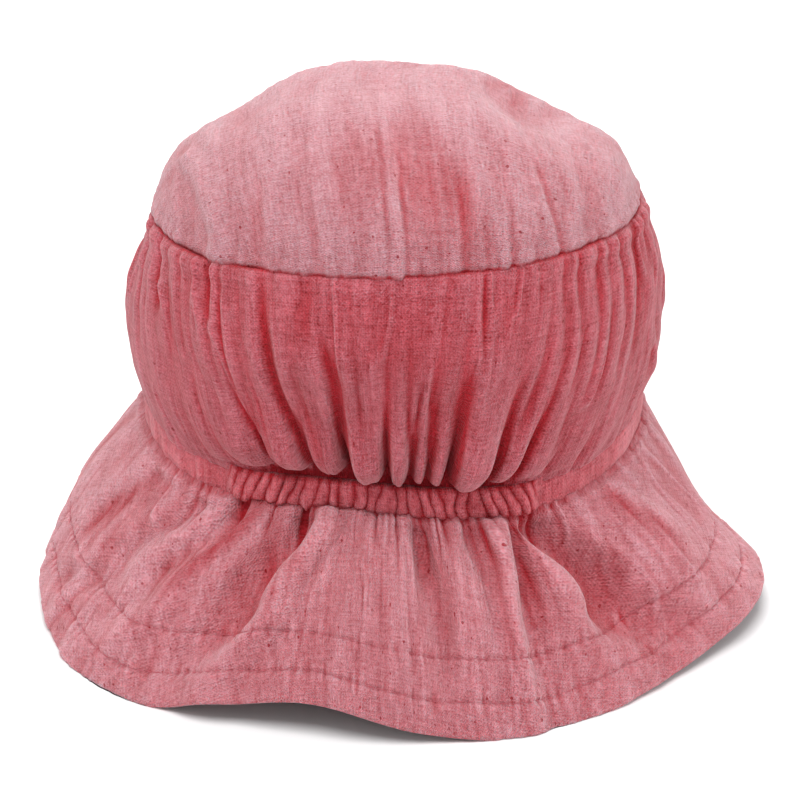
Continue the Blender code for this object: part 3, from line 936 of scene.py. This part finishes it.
def casingRelief(cloth, t):
    angle = openingAngle(cloth)
    place = elasticPlace(angle)
    uneven = 0.3 * clothNoise(place * 9.0 + 40, t * 1.3 + 3, 51)
    uneven += 0.16 * clothNoise(place * 23.0 + 90, t * 2 + 5, 52)
    fanned = place * (1 - casing["ribLean"] / hat["elasticHalfAngle"] * (t - 0.5))
    swell = np.abs(np.sin(np.pi / 2 * (casing["ribs"] * fanned + 2.2 * uneven))) ** 0.72
    strength = 0.8 + 0.4 * clothNoise(place * 10.5 + 70, 1.0, 53)
    inElastic = smooth((1.03 - np.abs(place)) / 0.12)
    body = np.sqrt(np.clip(1 - ((t - 0.5) / 0.505) ** 2, 0, 1))
    height = casing["bulge"] * body * (0.06 + 0.94 * inElastic)
    height += casing["ribDepth"] * (swell * strength - 0.35) * inElastic * body ** 0.5
    small = pleats(cloth, t, 55, 2.3, 1.5)
    height += small * casing["pleats"] * (1 - 0.5 * inElastic) * body
    groove = bump((t - 0.14) / 0.08) * (1 - inElastic)
    height -= casing["grooveDepth"] * groove + casing["plainSink"] * (1 - inElastic)
    # painted shade between the elastic's ribs, at the band's top and bottom edges and in the groove
    ends = (1 - smooth((1 - t) / 0.16)) + (1 - smooth(t / 0.16))
    paintedShade = inElastic * (1 - swell) ** 1.2 * 1.05 + ends * (0.08 + 0.4 * inElastic) + 0.35 * groove
    return height, np.clip(0.1 + 0.12 * (1 - inElastic) + paintedShade - small * 0.4, 0.0, 1.0)


def makeCasing():
    columns, levels, cloth, t = clothGrid(casing)
    height, paintedShade = casingRelief(cloth, t)
    uv = bandUv(columns, 0.5 - levels * hat["casingHeight"])
    base = casingBand(cloth, t)
    return clothPiece("casingCloth", casing, base, height, 0 * height, paintedShade, uv)


# Brim

brim = {
    # the one cloth's pink, made paler on this piece as painted light, since the brim slopes up toward the
    # lamps
    "color": (0.545, 0.2, 0.226, 1.0),
    "contrast": 0.6,
    "thickness": 0.0016,
    "reach": 0.034,
    "fan": 9.0,
    "bow": 0.005,
    "foldDepth": 0.0095,
    "floorPress": 0.0012,
    "material": "muslinBrim",
    "columns": 820,
    "fineAngle": 96.0,
    "fineShare": 0.74,
    "levels": ((0.0, 0.06, 10), (0.06, 0.97, 82), (0.97, 1.0, 8)),
    "rowInner": 0.645,
    "rowOuter": 0.838,
    "grooveDepth": 0.0006,
    "tubeDepth": 0.003,
    "crinkle": 0.0001,
    "ridges": 0.0005,
    "softSwell": 0.001,
    "puckers": 0.00075,
    "hemRise": 0.0004,
    "edgeRoll": 0.0009,
    "cutTurn": 0.507,
    "cutRadius": 0.154,
    "cutWidth": 0.067,
}

# the brim's edge: angle, then shares of its reach, its lift off the floor and its bow
brimEdge = (
    (-180, 1.02, 0, 0.3),
    (-155, 0.98, 0.06, 0.3),
    (-130, 1.04, 0, 0.6),
    (-105, 1.08, 0.04, 0.8),
    (-80, 1.04, 0.06, 0.4),
    (-62, 1.1, 0.02, 0.3),
    (-45, 1.12, -0.02, 0.6),
    (-28, 0.98, 0.12, 0.8),
    (-14, 0.92, 0.2, 1),
    (4, 0.98, 0.08, 1.2),
    (20, 0.98, -0.01, 1.2),
    (42, 0.98, 0.05, 0.8),
    (62, 1.06, 0.11, 0.4),
    (80, 1.14, 0.14, -0.2),
    (105, 0.88, 0.08, -0.2),
    (130, 0.96, 0, 0.2),
    (155, 0.98, 0.06, 0.2),
)

# soft folds of the brim: angle at the seam, the middle and the edge, half width in degrees, and
# height at the seam, the middle and the edge
brimFolds = (
    (-43, -58, -80, 7, -0.3, -0.4, 0),
    (-31, -42, -56, 5.5, 0.28, 0.4, 0.1),
    (-18, -27.5, -39, 7.5, -0.2, -0.5, -0.04),
    (-13, -20.5, -30, 5, 0.36, 0.58, 0.2),
    (-3, -4.5, -6, 7, 0.22, 0.3, 0.05),
    (4.1, 7, 9, 3.2, -0.42, -0.3, 0),
    (11, 13, 14, 5, 0.2, 0.22, 0.05),
    (20.5, 19, 20, 3.6, 0.34, 0.52, 0.22),
    (24.5, 23.5, 24, 3, -0.34, -0.24, 0),
    (26.5, 31, 35, 4, 0.22, 0.24, 0.06),
    (31, 40.5, 54, 9, -0.58, -1, -0.16),
    (50, 58, 70, 10, 0.2, 0.38, 0.08),
)


def brimSlope(cloth, t):
    seamAngle = openingAngle(cloth)
    fan = brim["fan"] * np.sin(np.radians(seamAngle))
    angle = seamAngle + fan * t
    x, y = sideRing(seamAngle, np.ones_like(angle))
    edgeAngle = seamAngle + fan
    reach = brim["reach"] * around(edgeAngle, brimEdge, 1)
    last = sideSections[-1]
    edgeX, edgeY = ring(
        edgeAngle,
        hat["halfWidth"] * last[1] + reach,
        hat["front"] * last[2] + reach,
        hat["back"] * last[3] + reach,
    )
    lift = hat["openingHeight"] * around(edgeAngle, brimEdge, 2) - brim["floorPress"]
    x = x + (edgeX - x) * t
    y = y + (edgeY - y) * t
    tuck = 0.0011 * (1 - smooth(t / 0.016))
    start = openingLevel(seamAngle) + seamWave(seamAngle) * (1 - smooth(t / 0.2)) + tuck
    z = start + (lift - start) * t

    folds = np.zeros_like(angle)
    for seamAt, middleAt, edgeAt, halfWidth, seam, middle, edge in brimFolds:
        line = threeWay(t, seamAt, middleAt, edgeAt)
        spread = halfWidth * (0.75 + 0.5 * t)
        folds += threeWay(t, seam, middle, edge) * bump(signed(angle - line) / spread)
    bow = brim["bow"] * around(edgeAngle, brimEdge, 3) * np.sin(np.pi * t)
    out = bow + brim["foldDepth"] * folds * smooth(t / 0.1)
    turn = np.radians(angle)
    slope = math.atan2(hat["openingHeight"], brim["reach"])
    across = out * math.sin(slope)
    return stack(x - across * np.sin(turn), y + across * np.cos(turn), z + out * math.cos(slope)), folds


def brimRelief(cloth, t, folds, stepHeight, stepShade):
    seamAngle = openingAngle(cloth)
    place = elasticPlace(seamAngle)
    tubes = scallopShape(place)
    inElastic = smooth((0.98 - np.abs(place)) / 0.15)
    fade = 1 - smooth((t - 0.02) / 0.3)
    height = stepHeight + brim["tubeDepth"] * (tubes - 0.6) * inElastic * fade * smooth(t / 0.015)
    # painted shade between the tubes at the seam, in the folds and beside the crisp folds
    paintedShade = inElastic * (1 - tubes) * (1 - smooth((t - 0.02) / 0.2)) * 0.56
    paintedShade += np.clip(-folds, -0.4, 1) * 0.42 + 0.5 * stepShade

    # radial crinkles, strongest at the seam and again towards the edge at the far left
    small = pleats(cloth, t, 61, 2.6, 2.4)
    tiny = pleats(cloth, t, 67, 1.3, 5.0)
    left = bump((signed(cloth) + 84.0) / 34.0) * smooth((t - 0.3) / 0.5)
    height += brim["crinkle"] * small * (5 * (1 - smooth(t / 0.5)) + 4 + 7 * left)
    height += brim["crinkle"] * tiny * (2.4 + 3.4 * left)
    height += brim["ridges"] * ridges(cloth, t, 65, 8.0, 1.8) * (1 - 0.5 * smooth((t - 0.6) / 0.2))
    soft = clothNoise((cloth + 180.0) / 12.0, t * 3.0, 71, 30)
    soft2 = clothNoise((cloth + 180.0) / 5.0, t * 4.0, 72, 72)
    height += brim["softSwell"] * (soft * smooth(t / 0.2) + 0.5 * soft2 * smooth(t / 0.1))

    # stitch rows sink in, and the cloth puckers across them
    groove = np.zeros_like(t)
    pucker = np.zeros_like(t)
    for level in (brim["rowInner"], brim["rowOuter"]):
        at = t - level - rowWander(cloth, level)
        groove += bump(at / 0.016)
        pucker += bump(at / 0.075)
    ripple = pleats(cloth, t, 77, 1.7, 1.2)
    height += brim["puckers"] * ripple * pucker - brim["grooveDepth"] * groove
    hem = smooth((t - brim["rowOuter"] - 0.01) / 0.03)
    height += brim["hemRise"] * hem * (1 - groove)
    height -= brim["edgeRoll"] * (1 - smooth((1 - t) / 0.022)) + 0.0004 * (1 - smooth(t / 0.02))
    height += 0.0006 * bump((t - 0.035) / 0.035)
    # painted shade in the stitch grooves and along the seam
    paintedShade += 0.34 * groove + (1 - smooth(t / 0.03)) * 0.7
    return height, paintedShadeFrom(height, 0.6 * paintedShade - 0.06 * soft, 0.24)


def rowWander(cloth, level):
    # hand-guided rows waver by about half a millimetre
    return 0.007 * clothNoise((cloth + 180.0) / 10.0, level * 50.0, 83, 36)


# crisp folds of the brim: angle at the seam, middle and edge, where they start and end, half
# width in degrees, and how many millimetres the cloth steps up past them
brimSteps = (
    (-15.6, -24, -35, 0, 0.86, 3.4, 1.4),
    (19.6, 18.6, 19.6, 0.02, 0.78, 1.8, 0.8),
    (23.4, 22.4, 23, 0.02, 0.6, 1.8, -1.1),
    (27.5, 35.5, 46, 0, 0.75, 3, -1.4),
    (3.6, 5.2, 7.2, 0, 0.4, 1.6, -0.8),
    (-36, -48, -62, 0, 0.62, 3, -1.4),
    (-27.5, -39, -50, 0, 0.6, 3, 1.2),
    (-5, -7, -9, 0, 0.36, 1.6, 0.7),
    (10.5, 12, 13.5, 0, 0.38, 1.6, 0.6),
    (-62, -75, -92, 0.05, 0.7, 3.4, -1.2),
    (52, 60, 72, 0.05, 0.66, 3.4, 1.2),
)


def brimStepRelief(cloth, t):
    seamAngle = openingAngle(cloth)
    angle = seamAngle + brim["fan"] * np.sin(np.radians(seamAngle)) * t
    height = np.zeros_like(angle)
    shade = np.zeros_like(angle)
    for seamAt, middleAt, edgeAt, start, end, width, step in brimSteps:
        wander = 0.6 * clothNoise(t * 5.0, seamAt + 90.0, 87)
        line = threeWay(t, seamAt, middleAt, edgeAt) + wander
        away = signed(angle - line) / width
        shown = smooth((t - start) / 0.06 + 0.4) * smooth((end - t) / 0.3)
        height += 0.001 * step * np.tanh(1.8 * away) * bump(away / 4.5) * shown
        lowSide = away if step < 0 else -away
        shade += abs(step) / 2.6 * bump((lowSide - 0.9) / 1.9) * shown
    return height, shade


def brimPoints(cloth, t):
    base, folds = brimSlope(cloth, t)
    stepHeight, stepShade = brimStepRelief(cloth, t)
    height, paintedShade = brimRelief(cloth, t, folds, stepHeight, stepShade)
    return base, height, paintedShade


def makeBrim():
    columns, levels, cloth, t = clothGrid(brim)
    base, height, paintedShade = brimPoints(cloth, t)
    # the brim's cut: part of a flat ring, so its grain turns as it goes round the hat
    spread = brim["cutTurn"] * closedTurn(columns)
    radius = brim["cutRadius"] + levels * brim["cutWidth"]
    uv = np.stack([radius * np.sin(spread), -radius * np.cos(spread)], axis=-1)
    return clothPiece("brimCloth", brim, base, height, height, paintedShade, uv)


crownTopPiece = makeCrownTop()
print("crown top made")
crownSidePiece = makeCrownSide()
print("crown side made")
casingPiece = makeCasing()
print("casing made")
brimPiece = makeBrim()
print("brim made")


# Stitches: one short thread repeated along a line

stitch = {
    "length": 0.0026,
    "pitch": 0.0034,
    "radius": 0.00021,
    "sides": 6,
    "segments": 4,
    "taper": -3.2,
    "smallest": 0.78,
    "largest": 1.12,
    "brimGuide": (1400, 96.0, 0.7),
    "casingGuide": (1400, 84.0, 0.8),
    "widestStep": 0.004,
    "lowest": 0.0006,
    "color": (0.44, 0.1, 0.125, 1.0),
}


def makeStitchGroup():
    group = bpy.data.node_groups.new("stitchRow", "GeometryNodeTree")
    for name, kind in (
        ("Geometry", "NodeSocketGeometry"),
        ("Pitch", "NodeSocketFloat"),
        ("Stitch Length", "NodeSocketFloat"),
        ("Thread Radius", "NodeSocketFloat"),
        ("Seed", "NodeSocketInt"),
        ("Thread", "NodeSocketMaterial"),
    ):
        addSocket(group, name, kind)
    addSocket(group, "Geometry", "NodeSocketGeometry", False)
    given = group.nodes.new("NodeGroupInput").outputs
    results = group.nodes.new("NodeGroupOutput").inputs

    curve = addNode(group, "GeometryNodeMeshToCurve", {"Mesh": given["Geometry"]})
    spaced = {"Curve": curve.outputs["Curve"], "Length": given["Pitch"]}
    resample = addNode(group, "GeometryNodeResampleCurve", spaced, mode="LENGTH")
    tangent = addNode(group, "GeometryNodeInputTangent")
    align = addNode(group, "FunctionNodeAlignRotationToVector", {"Vector": tangent.outputs[0]}, axis="Z")
    thread = addNode(group, "GeometryNodeMeshCylinder", {
        "Vertices": stitch["sides"],
        "Side Segments": stitch["segments"],
        "Radius": given["Thread Radius"],
        "Depth": given["Stitch Length"],
    })
    # both ends of a stitch dive into the cloth, so it tapers there
    position = addNode(group, "GeometryNodeInputPosition")
    split = addNode(group, "ShaderNodeSeparateXYZ", {"Vector": position.outputs[0]})
    share = calc(group, "DIVIDE", split.outputs["Z"], given["Stitch Length"])
    square = calc(group, "MULTIPLY", share, share)
    taper = calc(group, "MULTIPLY_ADD", square, stitch["taper"], 1.0)
    narrowed = addNode(group, "ShaderNodeCombineXYZ", {
        "X": calc(group, "MULTIPLY", split.outputs["X"], taper),
        "Y": calc(group, "MULTIPLY", split.outputs["Y"], taper),
        "Z": split.outputs["Z"],
    })
    moved = {"Geometry": thread.outputs["Mesh"], "Position": narrowed.outputs[0]}
    shaped = addNode(group, "GeometryNodeSetPosition", moved)
    uneven = addNode(group, "FunctionNodeRandomValue", {"Seed": given["Seed"]}, data_type="FLOAT")
    uneven.inputs[2].default_value = stitch["smallest"]
    uneven.inputs[3].default_value = stitch["largest"]
    place = addNode(group, "GeometryNodeInstanceOnPoints", {
        "Points": resample.outputs["Curve"],
        "Instance": shaped.outputs["Geometry"],
        "Rotation": align.outputs["Rotation"],
        "Scale": uneven.outputs[1],
    })
    real = addNode(group, "GeometryNodeRealizeInstances", {"Geometry": place.outputs["Instances"]})
    dyeAndPaintedShade = {"Geometry": real.outputs["Geometry"], "Material": given["Thread"]}
    paint = addNode(group, "GeometryNodeSetMaterial", dyeAndPaintedShade)
    feed(group, results["Geometry"], paint.outputs["Geometry"])
    return group


stitchGroup = makeStitchGroup()
stitchThread = plainMaterial("stitchThread", stitch["color"], 0.7, 0.2)


def stitchRow(name, points, seed, pitch):
    line = points - np.array(hat["middle"])
    line[:, 2] = np.maximum(line[:, 2], stitch["lowest"])
    mesh = bpy.data.meshes.new(name + "Line")
    steps = np.linalg.norm(np.roll(line, -1, axis=0) - line, axis=1)
    # no thread runs straight across the elastic
    edges = [(i, (i + 1) % len(line)) for i in np.flatnonzero(steps < stitch["widestStep"])]
    mesh.from_pydata(line.tolist(), edges, [])
    guide = addObject(name + "Line", mesh)
    modifier = guide.modifiers.new("stitches", "NODES")
    modifier.node_group = stitchGroup
    given = {
        "Pitch": pitch,
        "Stitch Length": pitch * stitch["length"] / stitch["pitch"],
        "Thread Radius": stitch["radius"],
        "Seed": seed,
        "Thread": stitchThread,
    }
    for item in stitchGroup.interface.items_tree:
        if item.item_type == "SOCKET" and item.in_out == "INPUT" and item.name in given:
            modifier[item.identifier] = given[item.name]
    guide.update_tag()
    view = bpy.context.evaluated_depsgraph_get()
    made = addObject(name, bpy.data.meshes.new_from_object(guide.evaluated_get(view)))
    bpy.data.objects.remove(guide, do_unlink=True)
    made.data.shade_smooth()
    return made


def rowOnCloth(base, height, lift):
    # the middle one of three rows, just above the cloth
    return (base + gridNormals(base) * (height[..., None] + lift))[1]


def rowOnBrim(level):
    columns = clothColumns(*stitch["brimGuide"])
    cloth, t = np.meshgrid(columns, level + np.array([-0.004, 0.0, 0.004]))
    base, height, paintedShade = brimPoints(cloth, t + rowWander(cloth, level))
    return rowOnCloth(base, height, 0.00008)


def rowOnCasing(level):
    # the elastic's stretch has no row of its own
    columns = clothColumns(*stitch["casingGuide"])
    columns = columns[np.abs(elasticPlace(openingAngle(columns))) > 1.06]
    cloth, t = np.meshgrid(columns, level + np.array([-0.01, 0.0, 0.01]))
    return rowOnCloth(casingBand(cloth, t), casingRelief(cloth, t)[0], 0.0001)


stitches = [
    stitchRow("brimStitchesInner", rowOnBrim(brim["rowInner"]), 3, stitch["pitch"]),
    stitchRow("brimStitchesOuter", rowOnBrim(brim["rowOuter"]), 5, stitch["pitch"]),
    stitchRow("casingStitches", rowOnCasing(casing["row"]), 7, casing["rowPitch"]),
]
print("stitches made")


# Every piece moves with the one body, and the frame's own part is hidden

for piece, node in (
    (crownTopPiece, "crown_top"),
    (crownSidePiece, "crown_side"),
    (casingPiece, "elastic_casing"),
    (brimPiece, "brim"),
):
    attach(piece, "root")
    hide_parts(node)
for piece in stitches:
    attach(piece, "root")


# Floor, light and camera

studio = {
    "floorColor": (0.93, 0.93, 0.935, 1.0),
    "floorHalf": 6.0,
    "floorGap": 0.0002,
    "worldColor": (1.0, 1.0, 1.0, 1.0),
    "worldStrength": 0.45,
    "elevation": 22.0,
    "distance": 0.85,
    "lens": 122.0,
    "sensor": 36.0,
    "nearest": 0.05,
    "lampTarget": (0, 0, 0.08),
    "target": (-0.00032657, 0.00434769, 0.0588),
}

# each lamp's name, place, size and power
lamps = (
    ("highFront", (0.15, 0.52, 1.28), 0.9, 15.0),
    ("lowFront", (-0.2, 1.4, 0.4), 0.8, 2.0),
    ("highBack", (0.0, -0.95, 0.8), 0.8, 8.0),
    ("leftSoft", (1.1, 0.3, 0.5), 0.8, 1.8),
    ("rightSoft", (-1.1, 0.25, 0.5), 0.8, 3.6),
)


def pointAt(made, target):
    direction = Vector(target) - made.location
    made.rotation_mode = "QUATERNION"
    made.rotation_quaternion = direction.to_track_quat("-Z", "Y")


def makeStage():
    mesh = bpy.data.meshes.new("floor")
    size = studio["floorHalf"]
    corners = [(-size, -size, 0), (size, -size, 0), (size, size, 0), (-size, size, 0)]
    mesh.from_pydata(corners, [], [(0, 1, 2, 3)])
    mesh.materials.append(plainMaterial("paleFloor", studio["floorColor"], 0.9, 0.0))
    floor = addObject("floor", mesh)
    floor.location = (0, 0, -studio["floorGap"])

    world = bpy.data.worlds.new("studio")
    rawScene.world = world
    world.use_nodes = True
    background = world.node_tree.nodes["Background"]
    background.inputs["Color"].default_value = studio["worldColor"]
    background.inputs["Strength"].default_value = studio["worldStrength"]

    for name, place, size, power in lamps:
        light = bpy.data.lights.new(name, "AREA")
        light.shape = "SQUARE"
        light.size = size
        light.energy = power
        lamp = addObject(name, light)
        lamp.location = place
        pointAt(lamp, studio["lampTarget"])

    lift = math.radians(studio["elevation"])
    target = Vector(studio["target"])
    lens = bpy.data.cameras.new("photoCamera")
    lens.sensor_width = studio["sensor"]
    lens.lens = studio["lens"]
    lens.clip_start = studio["nearest"]
    camera = addObject("photoCamera", lens)
    camera.location = target + Vector((0, math.cos(lift), math.sin(lift))) * studio["distance"]
    pointAt(camera, target)
    rawScene.camera = camera


makeStage()
rawScene.view_settings.view_transform = "Standard"
rawScene.view_settings.look = "None"
print("stage made")
